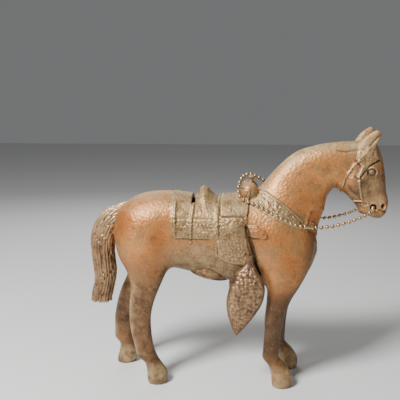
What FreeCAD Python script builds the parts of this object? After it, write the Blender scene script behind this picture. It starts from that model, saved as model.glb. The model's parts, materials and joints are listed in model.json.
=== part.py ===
"""Coin bank in the shape of a standing saddled horse, cast in metal.

The horse is two hollow half castings that meet on the plane Y = 0, with a separate tail casting
and two stirrup covers soldered on.  A coin slot crosses the back behind the saddle's cantle, and a
quarter-turn lock trap closes a round hole in the belly.  A bead chain runs through the mouth,
back along both shoulders and round the saddle horn as the reins.

Frame: millimetres, +X towards the head, +Y to the horse's left, +Z up.  The origin is under the
middle of the horse, on the plane that the four hooves stand on.
"""

import FreeCAD
import Part

import math
import os

import Sketcher
from FreeCAD import Placement, Rotation, Vector

doc = FreeCAD.newDocument("HorseCoinBank")
sheet = doc.addObject("Spreadsheet::Sheet", "Dims")

# ---------------------------------------------------------------- driving dimensions

DRIVING = {
    # castings
    "wall": 2.4,  # casting thickness
    "slot_length": 31.0,  # across the back, passes the largest common coin
    "slot_width": 2.8,
    "slot_x": -32.5,
    "bit_hole_radius": 2.5,  # through the mouth, for the rein chain
    # belly trap, along its own axis: 0 is the seat face, outwards is positive
    "trap_x": -20.5,
    "trap_z": 89.0,
    "trap_tilt": 12.75,  # degrees from straight down, towards the tail
    "boss_radius": 17.5,
    "boss_depth": 13.0,
    "mouth_radius": 13.2,
    "ledge_depth": 5.0,
    "bore_radius": 15.8,
    "notch_width": 6.4,
    "cover_radius": 16.5,
    "cover_thick": 1.2,
    "cover_hole": 5.0,
    "rim_width": 1.4,
    "rim_height": 0.6,
    "skirt_outer": 12.9,
    "skirt_inner": 12.0,
    "skirt_depth": 2.4,
    "barrel_radius": 4.95,
    "barrel_depth": 4.8,
    "flange_radius": 6.6,
    "flange_thick": 0.9,
    "plug_radius": 3.2,
    "plug_bore": 3.25,
    "keyway_length": 4.4,
    "keyway_width": 1.1,
    "keyway_depth": 3.0,
    "nut_flats": 13.4,
    "nut_thick": 1.9,
    "washer_outer": 5.2,
    "washer_thick": 0.3,
    "bar_length": 30.6,
    "bar_width": 5.4,
    "bar_thick": 1.3,
    "stem_radius": 1.8,
    "rivet_radius": 2.9,
    "rivet_thick": 0.9,
    # rein chain
    "chain_diameter": 3.2,
    "connector_radius": 2.15,
    # saddle
    "cantle_thick": 7.0,
    "cantle_x": -23.0,
    "horn_radius": 2.8,
    "relief": 1.0,  # how far leatherwork stands out of the coat
    "stirrup_out": 26.2,  # middle of a stirrup cover, from the centre plane
}

# Trunk, at stations along X: x, lowest z, highest z, half width.
TRUNK = [
    (-99.0, 113.0, 133.0, 6.0),
    (-94.0, 103.0, 142.5, 15.0),
    (-84.0, 95.0, 149.8, 21.5),
    (-70.0, 91.5, 154.8, 24.5),
    (-54.0, 92.5, 156.2, 24.5),
    (-36.0, 90.0, 154.2, 24.0),
    (-16.0, 86.0, 152.5, 25.0),
    (4.0, 80.8, 152.5, 25.5),
    (22.0, 79.5, 150.0, 24.0),
    (38.0, 82.0, 146.0, 23.5),
    (52.0, 86.5, 138.0, 20.5),
    (61.0, 95.0, 129.0, 14.5),
    (66.0, 105.0, 119.0, 6.5),
]

# Neck, from the withers to the poll: crest x, z, throat x, z, half width.
NECK = [
    (8.0, 149.0, 62.0, 102.0, 19.0),
    (21.0, 161.5, 67.5, 130.0, 15.5),
    (33.0, 175.5, 71.5, 143.0, 12.5),
    (48.0, 188.5, 74.0, 154.0, 11.0),
    (66.0, 194.6, 80.0, 161.5, 10.5),
    (84.0, 197.0, 84.0, 160.0, 10.2),
    (110.0, 198.0, 96.0, 171.0, 8.0),
]

# Head, from the poll to the lips: face x, z, jaw x, z, half width.
HEAD = [
    (110.0, 197.5, 81.5, 164.5, 9.6),
    (115.5, 184.5, 83.0, 159.5, 11.8),
    (118.2, 170.0, 91.0, 152.5, 10.6),
    (119.4, 159.0, 97.0, 145.5, 8.6),
    (121.5, 149.5, 98.8, 141.0, 8.0),
    (120.0, 141.0, 105.5, 138.6, 7.2),
    (116.5, 137.0, 110.5, 136.8, 3.5),
]

# Right foreleg and right hind leg from the body down: z, back x, front x, centre y, half width.
FORELEG = [
    (116.0, 17.0, 58.0, -11.0, 11.5),
    (104.0, 18.5, 60.0, -13.0, 12.0),
    (94.0, 22.5, 57.0, -15.5, 10.8),
    (84.0, 27.0, 52.0, -17.5, 9.0),
    (72.0, 26.8, 45.5, -18.4, 7.8),
    (58.0, 25.4, 41.0, -18.6, 6.9),
    (44.0, 25.2, 38.4, -18.6, 6.4),
    (30.0, 24.3, 37.3, -18.6, 6.1),
    (23.5, 24.2, 37.6, -18.6, 6.1),
    (17.5, 28.6, 43.0, -18.6, 6.2),
    (10.0, 31.2, 47.6, -18.6, 7.4),
    (4.0, 31.6, 48.2, -18.6, 7.9),
    (0.0, 32.2, 46.6, -18.6, 7.7),
]
HINDLEG = [
    (116.0, -92.0, -46.0, -12.0, 12.0),
    (104.0, -91.5, -50.0, -14.0, 11.5),
    (94.0, -86.5, -53.5, -16.0, 10.4),
    (82.0, -82.8, -58.8, -18.0, 8.8),
    (68.0, -84.0, -64.2, -19.2, 7.4),
    (55.0, -84.3, -66.8, -19.6, 6.7),
    (42.0, -83.0, -66.5, -19.6, 6.3),
    (30.0, -80.2, -64.8, -19.6, 6.2),
    (22.5, -78.2, -62.2, -19.6, 6.4),
    (16.5, -72.0, -58.6, -19.6, 6.2),
    (9.0, -70.4, -53.8, -19.6, 7.6),
    (3.5, -70.2, -53.2, -19.6, 8.1),
    (0.0, -69.4, -54.4, -19.6, 7.8),
]
# How far the left legs are set forward of the right ones: z, shift.
FORE_STAGGER = [(0.0, 7.0), (60.0, 6.0), (90.0, 2.0), (104.0, 0.0)]
HIND_STAGGER = [
    (0.0, -34.5),
    (24.0, -27.0),
    (42.0, -22.5),
    (68.0, -15.0),
    (94.0, -6.0),
    (104.0, 0.0),
]

# Tail: z, back x, front x, half width.
TAIL = [
    (62.0, -121.4, -103.2, 8.6),
    (72.0, -120.0, -101.4, 9.4),
    (86.0, -118.2, -98.8, 9.8),
    (100.0, -119.8, -100.0, 9.6),
    (114.0, -120.4, -102.6, 9.0),
    (125.0, -118.2, -102.6, 8.4),
]
# The dock, where the tail leaves the rump: upper x, z, lower x, z, half width.
DOCK = [
    (-114.8, 133.2, -100.8, 129.6, 8.0),
    (-109.0, 139.4, -97.6, 131.4, 7.6),
    (-100.0, 144.0, -93.2, 132.8, 6.8),
    (-89.0, 147.4, -87.0, 136.0, 5.4),
]

# Stirrup cover: z, back x, front x, half thickness.
STIRRUP = [
    (110.0, 9.6, 15.4, 1.9),
    (104.0, 9.6, 15.6, 2.2),
    (100.5, 7.6, 17.8, 3.2),
    (96.0, 2.0, 20.0, 4.6),
    (90.0, -1.0, 23.2, 5.8),
    (82.0, -3.4, 25.0, 6.6),
    (72.0, -5.2, 23.2, 6.6),
    (60.0, -3.8, 15.8, 5.6),
    (51.0, -0.6, 8.8, 4.2),
    (44.5, 1.6, 4.2, 2.0),
]

# The saddle's raised back edge, from right to left: y, top z, how far forward it curves.
CANTLE = [
    (-16.0, 146.5, 4.0),
    (-12.0, 155.0, 2.0),
    (0.0, 161.5, 0.0),
    (12.0, 155.0, 2.0),
    (16.0, 146.5, 4.0),
]

# Outlines of the saddle's leathers on the horse's side: x, z.
SKIRT = [(-50.0, 158.0), (-49.0, 124.5), (-46.0, 122.4), (-12.0, 122.0), (-12.0, 158.0)]
FENDER = [
    (-13.5, 158.0),
    (-12.5, 106.5),
    (-8.0, 103.5),
    (6.0, 101.5),
    (13.5, 104.0),
    (9.5, 131.0),
    (12.0, 158.0),
]

# Rein chain, from the right side of the mouth back to the connector: x, y, z.
REIN_FRONT = [
    (109.0, -0.4, 146.0),
    (109.0, -10.5, 146.0),
    (105.5, -13.8, 142.8),
    (98.5, -14.6, 139.0),
    (88.5, -14.9, 134.9),
    (77.0, -15.1, 131.7),
    (67.6, -15.0, 130.37),
    (62.0, -16.4, 131.0),
]
# From the connector along the right shoulder, round the back of the horn, and down the left side
# to the other end of the hole through the mouth.
REIN_REAR = [
    (54.0, -18.4, 131.9),
    (48.0, -19.9, 132.575),
    (40.0, -21.2, 136.8),
    (31.0, -21.0, 141.2),
    (21.8, -18.8, 145.9),
    (13.2, -16.2, 149.7),
    (5.6, -13.8, 152.2),
    (2.4, -9.6, 157.8),
    (3.8, -5.4, 164.6),
    (6.4, 0.4, 169.3),
    (12.6, 7.0, 170.3),
    (20.5, 11.0, 166.0),
    (29.5, 15.6, 159.8),
    (40.0, 18.6, 151.6),
    (51.0, 20.2, 143.2),
    (61.5, 18.8, 135.6),
    (72.0, 17.0, 131.8),
    (84.0, 15.4, 134.3),
    (96.0, 14.9, 138.4),
    (105.2, 13.9, 142.9),
    (109.0, 10.5, 146.0),
    (109.0, 0.4, 146.0),
]

TABLES = {
    "trunk": TRUNK,
    "neck": NECK,
    "head": HEAD,
    "foreleg": FORELEG,
    "hindleg": HINDLEG,
    "fore_stagger": FORE_STAGGER,
    "hind_stagger": HIND_STAGGER,
    "tail": TAIL,
    "dock": DOCK,
    "stirrup": STIRRUP,
    "cantle": CANTLE,
    "skirt": SKIRT,
    "fender": FENDER,
    "rein_front": REIN_FRONT,
    "rein_rear": REIN_REAR,
}


def fill_sheet():
    """Writes every driving dimension, then every station table, each number under its alias."""
    row = 1
    for alias, value in DRIVING.items():
        sheet.set(f"A{row}", alias)
        sheet.set(f"B{row}", str(value))
        sheet.setAlias(f"B{row}", alias)
        row += 1
    for name, table in TABLES.items():
        for index, station in enumerate(table):
            sheet.set(f"A{row}", f"{name} {index}")
            for column, value in zip("BCDEF", station):
                sheet.set(f"{column}{row}", str(value))
                sheet.setAlias(f"{column}{row}", f"{name}_{index}_{column.lower()}x")
            row += 1
    doc.recompute()


def dim(alias):
    """A driving dimension, read back from the sheet."""
    return float(sheet.get(alias))


def table(name):
    """A station table, read back from the sheet."""
    rows = []
    for index, station in enumerate(TABLES[name]):
        rows.append([dim(f"{name}_{index}_{c.lower()}x") for c in "BCDEF"[: len(station)]])
    return rows


# ---------------------------------------------------------------- shapes

RING_POINTS = 14
FULLNESS = 2.25  # above 2, a section is squarer than an ellipse


def ring(centre, up, side, reach, half_width):
    """A closed smooth wire round centre: reach along up, half_width along side."""
    points = []
    for i in range(RING_POINTS):
        turn = 2 * math.pi * i / RING_POINTS
        c, s = math.cos(turn), math.sin(turn)
        u = math.copysign(abs(c) ** (2 / FULLNESS), c) * reach
        v = math.copysign(abs(s) ** (2 / FULLNESS), s) * half_width
        points.append(centre + up * u + side * v)
    curve = Part.BSplineCurve()
    curve.interpolate(Points=points, PeriodicFlag=True)
    return Part.Wire([curve.toShape()])


def loft(rings):
    """A solid through the rings."""
    solid = Part.makeLoft(rings, True, False)
    if solid.Volume < 0:
        solid.reverse()
    return solid


def slanted_rings(stations, inset=0.0):
    """Rings across the line between two outline points: x, z, x, z, half width."""
    rings = []
    for x1, z1, x2, z2, half in stations:
        a, b = Vector(x1, 0, z1), Vector(x2, 0, z2)
        reach = (a - b).Length / 2
        up = (a - b).normalize()
        rings.append(ring((a + b) * 0.5, up, Vector(0, 1, 0), reach - inset, half - inset))
    return rings


def trunk(grow=0.0):
    rings = []
    for x, low, high, half in table("trunk"):
        centre = Vector(x, 0, (low + high) / 2)
        reach = (high - low) / 2 + grow
        rings.append(ring(centre, Vector(0, 0, 1), Vector(0, 1, 0), reach, half + grow))
    return loft(rings)


def between(pairs, at):
    """The second value of pairs, at a first value, along straight lines."""
    if at <= pairs[0][0]:
        return pairs[0][1]
    for (a, va), (b, vb) in zip(pairs, pairs[1:]):
        if at <= b:
            return va + (vb - va) * (at - a) / (b - a)
    return pairs[-1][1]


def level_rings(stations, side, stagger):
    """Rings in level planes: z, back x, front x, centre y, half width."""
    rings = []
    for z, back, front, y, half in stations:
        shift = between(stagger, z) if stagger else 0.0
        centre = Vector((back + front) / 2 + shift, y * side, z)
        rings.append(ring(centre, Vector(1, 0, 0), Vector(0, 1, 0), (front - back) / 2, half))
    return rings


def legs(side):
    """The fore and hind leg of one side: side is 1 for the right, -1 for the left."""
    fore = level_rings(table("foreleg"), side, table("fore_stagger") if side < 0 else None)
    hind = level_rings(table("hindleg"), side, table("hind_stagger") if side < 0 else None)
    return [loft(fore), loft(hind)]


def ear(side, base, tip, tip_y):
    """One ear: a pointed blade from the poll, side 1 for the right."""
    a, b = Vector(base[0], -5.6 * side, base[1]), Vector(tip[0], -tip_y * side, tip[1])
    along = (b - a).normalize()
    across = Vector(along.z, 0, -along.x).normalize()
    out = along.cross(across)
    widths = [(0.0, 4.6, 3.0), (0.45, 4.4, 2.6), (0.8, 2.6, 1.6), (1.0, 0.7, 0.6)]
    return loft([ring(a + (b - a) * t, across, out, wide, thick) for t, wide, thick in widths])


def cantle():
    """The saddle's raised back edge: a curved fin across the back."""
    rings = []
    foot = 143.0
    for y, top, forward in table("cantle"):
        centre = Vector(dim("cantle_x") + forward, y, (top + foot) / 2)
        up = Vector(-0.18, 0, 1).normalize()
        rings.append(ring(centre, up, Vector(1, 0, 0), (top - foot) / 2, dim("cantle_thick") / 2))
    return loft(rings)


def horn():
    """The saddle's fork with a swell on each side, and the horn that stands on it."""
    radius = dim("horn_radius")
    x, z, swell_y, swell_radius = 11.6, 158.3, 8.0, 7.0
    swells = [Part.makeSphere(swell_radius, Vector(x, side * swell_y, z)) for side in (-1, 1)]
    bridge_end = Vector(x, -swell_y, z - 0.6)
    bridge = Part.makeCylinder(swell_radius - 1.0, 2 * swell_y, bridge_end, Vector(0, 1, 0))
    post = Part.makeCylinder(radius * 0.72, 10.0, Vector(x + 1.6, 0, z))
    cap = Part.makeCylinder(radius, 1.8, Vector(x + 1.6, 0, z + 9.4))
    return [*swells, bridge, post, cap]


def relief_pad(outline, side, grown):
    """Leatherwork on one side: the part of the slightly larger trunk inside an outline."""
    points = [Vector(x, 0, z) for x, z in outline]
    face = Part.Face(Part.makePolygon([*points, points[0]]))
    prism = face.extrude(Vector(0, -60 * side, 0))
    return grown.common(prism)


# ---------------------------------------------------------------- castings

RIGHT, LEFT = 1, -1


def trap_frame():
    """Placement of everything on the trap: its own +Z points out of the belly."""
    seat = Vector(dim("trap_x"), 0, dim("trap_z"))
    return Placement(seat, Rotation(Vector(0, 1, 0), 180 + dim("trap_tilt")))


def on_trap(radius, start, end):
    """A cylinder on the trap's axis between two depths."""
    solid = Part.makeCylinder(radius, end - start, Vector(0, 0, start))
    solid.Placement = trap_frame()
    return solid


def horse_outside():
    """The whole horse's outer shape, as one solid without its tail and stirrup covers."""
    body = trunk()
    grown = trunk(dim("relief"))
    pieces = [loft(slanted_rings(table("neck"))), loft(slanted_rings(table("head")))]
    for side in (RIGHT, LEFT):
        pieces += legs(side)
    pieces.append(ear(RIGHT, (102.0, 193.5), (111.8, 205.6), 6.4))
    pieces.append(ear(LEFT, (98.5, 194.0), (107.0, 208.0), 5.6))
    pieces.append(cantle())
    pieces += horn()
    for side in (RIGHT, LEFT):
        for name in ("skirt", "fender"):
            pieces.append(relief_pad(table(name), side, grown))
    pieces.append(on_trap(dim("boss_radius"), -dim("boss_depth"), 0))
    for piece in pieces:
        body = body.fuse(piece)
    return body


def horse_inside():
    """The hollow: trunk and neck, less the ring of metal that holds the trap."""
    wall = dim("wall")
    hollow = trunk(-wall)
    neck_hollow = loft(slanted_rings(table("neck")[:-1], wall))
    hollow = hollow.multiFuse([neck_hollow])
    kept = on_trap(dim("boss_radius"), -dim("ledge_depth") - 2.0, 0)
    return hollow.cut(kept)


def trap_opening():
    """The hole in the belly: a ledge with two notches for the bar, a wider bore, a flat seat."""
    ledge = dim("ledge_depth")
    seat = on_trap(dim("boss_radius") + 0.4, 0, 4.0)
    bore = on_trap(dim("bore_radius"), -dim("boss_depth") - 4.0, -ledge)
    mouth = on_trap(dim("mouth_radius"), -ledge - 1.0, 2.0)
    reach, width = 2 * dim("bore_radius"), dim("notch_width")
    notches = Part.makeBox(reach, width, ledge + 3.0, Vector(-reach / 2, -width / 2, -ledge - 1.0))
    notches.Placement = trap_frame()
    limit = on_trap(dim("bore_radius"), -ledge - 2.0, 3.0)
    return bore.fuse(mouth).fuse(notches.common(limit)).fuse(seat)


def coin_slot():
    length, width = dim("slot_length"), dim("slot_width")
    return Part.makeBox(width, length, 40.0, Vector(dim("slot_x") - width / 2, -length / 2, 135.0))


def bit_hole():
    x, _, z = table("rein_front")[0]
    return Part.makeCylinder(dim("bit_hole_radius"), 40.0, Vector(x, -20.0, z), Vector(0, 1, 0))


def half_space(side):
    low = -100.0 if side == RIGHT else 0.0
    return Part.makeBox(400.0, 100.0, 400.0, Vector(-200.0, low, -50.0))


fill_sheet()


# ---------------------------------------------------------------- document objects

SUB_PARTS = []


def keep(item, label, placement=None):
    """Names a finished sub-part and sets where it sits."""
    item.Label = label
    if placement is not None:
        item.Placement = placement
    SUB_PARTS.append(item)
    return item


def feature(label, shape):
    """A free-form sub-part: its shape is worked out above from the sheet's values."""
    item = doc.addObject("Part::Feature", label)
    item.Shape = shape
    return keep(item, label, Placement())


def largest(shape):
    """The largest solid of a boolean's result, which drops slivers."""
    return max(shape.Solids, key=lambda solid: solid.Volume)


def make_castings():
    outside = horse_outside()
    casting = outside
    for tool in (horse_inside(), trap_opening(), coin_slot(), bit_hole()):
        casting = casting.cut(tool)
    for label, side in (("body_right_half", RIGHT), ("body_left_half", LEFT)):
        feature(label, largest(casting.common(half_space(side))))
    return outside


def make_tail(outside):
    """The tail: hanging hair and the curved dock, cut to meet the rump face to face."""
    rings = []
    for z, back, front, half in table("tail"):
        centre = Vector((back + front) / 2, 0, z)
        rings.append(ring(centre, Vector(-1, 0, 0), Vector(0, 1, 0), (front - back) / 2, half))
    rings += slanted_rings(table("dock"))
    feature("tail", largest(loft(rings).cut(outside)))


def make_stirrup_covers(outside):
    for label, side in (("tapadero_right", RIGHT), ("tapadero_left", LEFT)):
        rings = []
        for z, back, front, thick in table("stirrup"):
            centre = Vector((back + front) / 2, -dim("stirrup_out") * side, z)
            rings.append(ring(centre, Vector(1, 0, 0), Vector(0, 1, 0), (front - back) / 2, thick))
        feature(label, largest(loft(rings).cut(outside)))


def rounded_path(points, label):
    """Straight runs joined by tangent arcs, each as large as its two runs allow."""
    spots = [Vector(*p) for p in points]
    edges, start, radii = [], spots[0], []
    for before, corner, after in zip(spots, spots[1:], spots[2:]):
        back, ahead = (before - corner), (after - corner)
        trim = 0.45 * min(back.Length, ahead.Length)
        back.normalize()
        ahead.normalize()
        half_turn = (math.pi - back.getAngle(ahead)) / 2
        radius = trim / math.tan(half_turn)
        radii.append(radius)
        enter, leave = corner + back * trim, corner + ahead * trim
        inward = (back + ahead).normalize()
        middle = corner + inward * (radius / math.cos(half_turn) - radius)
        edges.append(Part.LineSegment(start, enter).toShape())
        edges.append(Part.Arc(enter, middle, leave).toShape())
        start = leave
    edges.append(Part.LineSegment(start, spots[-1]).toShape())
    print(label, "bend radii, mm:", " ".join(f"{r:.1f}" for r in radii))
    return Part.Wire(edges)


def make_chain(label, points):
    """A stretch of the rein chain as a plain tube of the beads' diameter."""
    path = rounded_path(points, label)
    first = Vector(*points[1]) - Vector(*points[0])
    radius = dim("chain_diameter") / 2
    profile = Part.Wire([Part.makeCircle(radius, Vector(*points[0]), first)])
    tube = path.makePipeShell([profile], True, False)
    expected = math.pi * radius**2 * path.Length
    print(label, f"length {path.Length:.1f} mm, volume {tube.Volume:.0f} of {expected:.0f} mm3")
    feature(label, tube)


def make_connector():
    """The barrel that joins the chain's two ends."""
    start, end = Vector(*table("rein_front")[-1]), Vector(*table("rein_rear")[0])
    axis = end - start
    item = doc.addObject("Part::Cylinder", "chain_connector")
    item.setExpression("Radius", "Dims.connector_radius")
    item.Height = axis.Length
    keep(item, "chain_connector", Placement(start, Rotation(Vector(0, 0, 1), axis)))


# Trap pieces are drawn in the trap's own frame, then placed on it.


def at_depth(item, label, depth):
    """Places a finished trap piece, its own origin at a depth along the trap's axis."""
    keep(item, label, trap_frame().multiply(Placement(Vector(0, 0, depth), Rotation())))


def turned(label, profile):
    """A body of revolution about Z.  profile: (radius, height) expressions, heights from 0 up."""
    body = doc.addObject("PartDesign::Body", label)
    sketch = body.newObject("Sketcher::SketchObject", label + "_profile")
    plane = next(f for f in body.Origin.OriginFeatures if f.Role == "XZ_Plane")
    sketch.AttachmentSupport = (plane, [""])
    sketch.MapMode = "FlatFace"
    values = [[sheet_value(expression) for expression in pair] for pair in profile]
    spots = [Vector(r, height, 0) for r, height in values]
    for i, spot in enumerate(spots):
        sketch.addGeometry(Part.LineSegment(spot, spots[(i + 1) % len(spots)]), False)
    for i in range(len(spots)):
        sketch.addConstraint(Sketcher.Constraint("Coincident", i, 2, (i + 1) % len(spots), 1))
    for i, (pair, (r, height)) in enumerate(zip(profile, values)):
        across = ("DistanceX", pair[0], r, -2)
        along = ("DistanceY", pair[1], height, -1)
        for kind, expression, value, axis in (across, along):
            if value == 0:
                sketch.addConstraint(Sketcher.Constraint("PointOnObject", i, 1, axis))
                continue
            number = sketch.addConstraint(Sketcher.Constraint(kind, -1, 1, i, 1, value))
            sketch.setExpression(f"Constraints[{number}]", expression)
    turn = body.newObject("PartDesign::Revolution", label + "_turn")
    turn.Profile = sketch
    turn.ReferenceAxis = (sketch, ["V_Axis"])
    turn.Angle = 360
    return body


def sheet_value(expression):
    """What an expression over the sheet's cells comes to, for a sketch's first guess."""
    return float(doc.Dims.evalExpression(expression.replace("Dims.", "")))


def cylinder(name, radius, height, base="0"):
    item = doc.addObject("Part::Cylinder", name)
    item.setExpression("Radius", radius)
    item.setExpression("Height", height)
    item.setExpression("Placement.Base.z", base)
    return item


def centred_box(name, length, width, height, base="0"):
    item = doc.addObject("Part::Box", name)
    for prop, expression in (("Length", length), ("Width", width), ("Height", height)):
        item.setExpression(prop, expression)
    item.setExpression("Placement.Base.x", f"-({length}) / 2")
    item.setExpression("Placement.Base.y", f"-({width}) / 2")
    item.setExpression("Placement.Base.z", base)
    return item


def combined(kind, name, base, tool):
    item = doc.addObject("Part::" + kind, name)
    item.Base, item.Tool = base, tool
    return item


def make_trap():
    """The stamped cover, its centring skirt, and the barrel and nut of the lock."""
    cover_top = "Dims.cover_thick + Dims.rim_height"
    inner_rim = "Dims.cover_radius - Dims.rim_width"
    cover = turned("trap_cover_body", [
        ("Dims.cover_hole", "0"),
        ("Dims.cover_radius", "0"),
        ("Dims.cover_radius", cover_top),
        (inner_rim, cover_top),
        (inner_rim, "Dims.cover_thick"),
        ("Dims.cover_hole", "Dims.cover_thick"),
    ])
    at_depth(cover, "trap_cover", 0)
    skirt = turned("trap_skirt_body", [
        ("Dims.skirt_inner", "0"),
        ("Dims.skirt_outer", "0"),
        ("Dims.skirt_outer", "Dims.skirt_depth"),
        ("Dims.skirt_inner", "Dims.skirt_depth"),
    ])
    at_depth(skirt, "trap_skirt", -dim("skirt_depth"))
    shoulder = "Dims.barrel_depth + Dims.cover_thick"
    outer_end = shoulder + " + Dims.flange_thick"
    housing = turned("lock_housing_body", [
        ("Dims.plug_bore", "0"),
        ("Dims.barrel_radius", "0"),
        ("Dims.barrel_radius", shoulder),
        ("Dims.flange_radius", shoulder),
        ("Dims.flange_radius", outer_end),
        ("Dims.plug_bore", outer_end),
    ])
    at_depth(housing, "lock_housing", -dim("barrel_depth"))
    hexagon = doc.addObject("Part::Prism", "lock_nut_hexagon")
    hexagon.Polygon = 6
    hexagon.setExpression("Circumradius", "Dims.nut_flats / sqrt(3)")
    hexagon.setExpression("Height", "Dims.nut_thick")
    hole = cylinder("lock_nut_hole", "Dims.cover_hole", "Dims.nut_thick")
    at_depth(combined("Cut", "lock_nut", hexagon, hole), "lock_nut", -dim("nut_thick"))


def make_lock():
    """What the key turns: the plug with its keyway, the washer, the bar and its rivet."""
    washer, bar = dim("washer_thick"), dim("bar_thick")
    plug_top = "Dims.barrel_depth + Dims.washer_thick + Dims.cover_thick + Dims.flange_thick"
    plug = cylinder("lock_plug_blank", "Dims.plug_radius", plug_top)
    slot = ("Dims.keyway_length", "Dims.keyway_width", "Dims.keyway_depth")
    keyway = centred_box("lock_keyway", *slot, f"{plug_top} - Dims.keyway_depth")
    inner_end = -dim("barrel_depth") - washer
    at_depth(combined("Cut", "lock_plug", plug, keyway), "lock_plug", inner_end)
    ring_body = turned("lock_washer_body", [
        ("Dims.plug_bore", "0"),
        ("Dims.washer_outer", "0"),
        ("Dims.washer_outer", "Dims.washer_thick"),
        ("Dims.plug_bore", "Dims.washer_thick"),
    ])
    at_depth(ring_body, "lock_washer", inner_end)
    blank = centred_box("lock_bar_blank", "Dims.bar_length", "Dims.bar_width", "Dims.bar_thick")
    ends = cylinder("lock_bar_ends", "Dims.bar_length / 2", "Dims.bar_thick")
    rounded = combined("Common", "lock_bar_rounded", blank, ends)
    hole = cylinder("lock_bar_hole", "Dims.stem_radius", "Dims.bar_thick")
    at_depth(combined("Cut", "lock_bar", rounded, hole), "lock_bar", inner_end - bar)
    rivet = turned("lock_rivet_body", [
        ("0", "0"),
        ("Dims.rivet_radius", "0"),
        ("Dims.rivet_radius", "Dims.rivet_thick"),
        ("Dims.stem_radius", "Dims.rivet_thick"),
        ("Dims.stem_radius", "Dims.rivet_thick + Dims.bar_thick"),
        ("0", "Dims.rivet_thick + Dims.bar_thick"),
    ])
    at_depth(rivet, "lock_rivet", inner_end - bar - dim("rivet_thick"))


def check_document():
    """Stops if any object failed or any sub-part is not one sound solid."""
    for item in doc.Objects:
        if {"Invalid", "Error"} & set(item.State):
            raise RuntimeError(f"{item.Label} failed: {item.State}")
    for item in SUB_PARTS:
        shape = item.Shape
        if shape.isNull() or not shape.isValid() or len(shape.Solids) != 1:
            raise RuntimeError(f"{item.Label} is not one sound solid")


outside = make_castings()
make_tail(outside)
make_stirrup_covers(outside)
make_chain("rein_chain_front", table("rein_front"))
make_chain("rein_chain_rear", table("rein_rear"))
make_connector()
make_trap()
make_lock()
doc.recompute()
check_document()

os.makedirs("parts", exist_ok=True)
for item in SUB_PARTS:
    item.Shape.exportStep(f"parts/{item.Label}.step")
    print(f"{item.Label}: {item.Shape.Volume:.0f} mm3")
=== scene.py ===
"""The looks of the horse coin bank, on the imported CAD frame.

The two castings are sculpted as one field of blended limbs, in millimetres, and meshed on each
side of the seam.  The tail and the stirrup covers are surfaces swept through stations, the reins
are bead chain, and the lock trap keeps its CAD pieces.
"""

import json
import math

import bpy
import numpy as np
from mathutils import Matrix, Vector


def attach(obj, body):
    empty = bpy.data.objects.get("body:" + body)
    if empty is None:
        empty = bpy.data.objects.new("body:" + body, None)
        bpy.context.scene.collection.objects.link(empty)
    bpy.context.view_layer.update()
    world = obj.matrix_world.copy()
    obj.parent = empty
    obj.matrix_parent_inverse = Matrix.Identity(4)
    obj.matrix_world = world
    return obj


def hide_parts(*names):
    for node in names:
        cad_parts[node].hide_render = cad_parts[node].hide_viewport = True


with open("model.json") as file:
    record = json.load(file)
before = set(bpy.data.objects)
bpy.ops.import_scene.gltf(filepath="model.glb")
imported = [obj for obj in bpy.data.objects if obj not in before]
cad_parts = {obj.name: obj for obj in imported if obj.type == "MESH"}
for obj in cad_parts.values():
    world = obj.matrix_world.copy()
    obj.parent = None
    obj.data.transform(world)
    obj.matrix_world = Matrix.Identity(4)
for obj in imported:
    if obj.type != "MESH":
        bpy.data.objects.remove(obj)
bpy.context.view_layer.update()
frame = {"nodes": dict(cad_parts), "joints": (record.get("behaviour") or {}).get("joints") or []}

MM = 0.001
RIGHT, LEFT = -1, 1  # the sign of Y on each side of the horse


# ---------------------------------------------------------------- camera, light and floor


def look_at(item, target):
    item.rotation_euler = (target - item.location).to_track_quat("-Z", "Y").to_euler()


def add_camera():
    """A 54 mm lens at the right side of the horse, a little ahead of it and above."""
    azimuth, elevation, distance = math.radians(5), math.radians(9), 0.490
    target = Vector((-0.0284, 0, 0.1489))
    data = bpy.data.cameras.new("camera")
    data.lens, data.sensor_width = 54, 36
    data.clip_start = 0.01
    camera = bpy.data.objects.new("camera", data)
    flat = math.cos(elevation)
    away = Vector((math.sin(azimuth) * flat, -math.cos(azimuth) * flat, math.sin(elevation)))
    camera.location = target + away * distance
    look_at(camera, target)
    bpy.context.scene.collection.objects.link(camera)
    bpy.context.scene.camera = camera


def add_light(name, place, target, size, watts):
    data = bpy.data.lights.new(name, "AREA")
    data.shape = "RECTANGLE"
    data.size, data.size_y = size
    data.energy = watts
    light = bpy.data.objects.new(name, data)
    light.location = place
    look_at(light, Vector(target))
    bpy.context.scene.collection.objects.link(light)


def add_studio():
    """Soft light from above and from the camera's side, over a plain pale floor."""
    middle = (0, 0, 0.11)
    add_light("key_light", (-0.42, -0.50, 0.72), middle, (0.24, 0.24), 17)
    add_light("fill_light", (0.8, -0.6, 0.3), middle, (0.7, 0.7), 0.5)
    add_light("back_light", (-0.2, 0.7, 0.6), middle, (0.6, 0.4), 2.5)
    world = bpy.data.worlds.new("studio")
    world.use_nodes = True
    world.node_tree.nodes["Background"].inputs["Color"].default_value = (0.78, 0.79, 0.8, 1)
    world.node_tree.nodes["Background"].inputs["Strength"].default_value = 0.22
    bpy.context.scene.world = world
    half = 3.0
    corners = [(-half, -half, 0), (half, -half, 0), (half, half, 0), (-half, half, 0)]
    mesh = bpy.data.meshes.new("floor")
    mesh.from_pydata(corners, [], [(0, 1, 2, 3)])
    floor = bpy.data.objects.new("floor", mesh)
    bpy.context.scene.collection.objects.link(floor)
    paper = bpy.data.materials.new("floor_paper")
    paper.use_nodes = True
    shader = paper.node_tree.nodes["Principled BSDF"]
    shader.inputs["Base Color"].default_value = (0.7, 0.7, 0.69, 1)
    shader.inputs["Roughness"].default_value = 0.8
    mesh.materials.append(paper)


# ---------------------------------------------------------------- meshes


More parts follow.
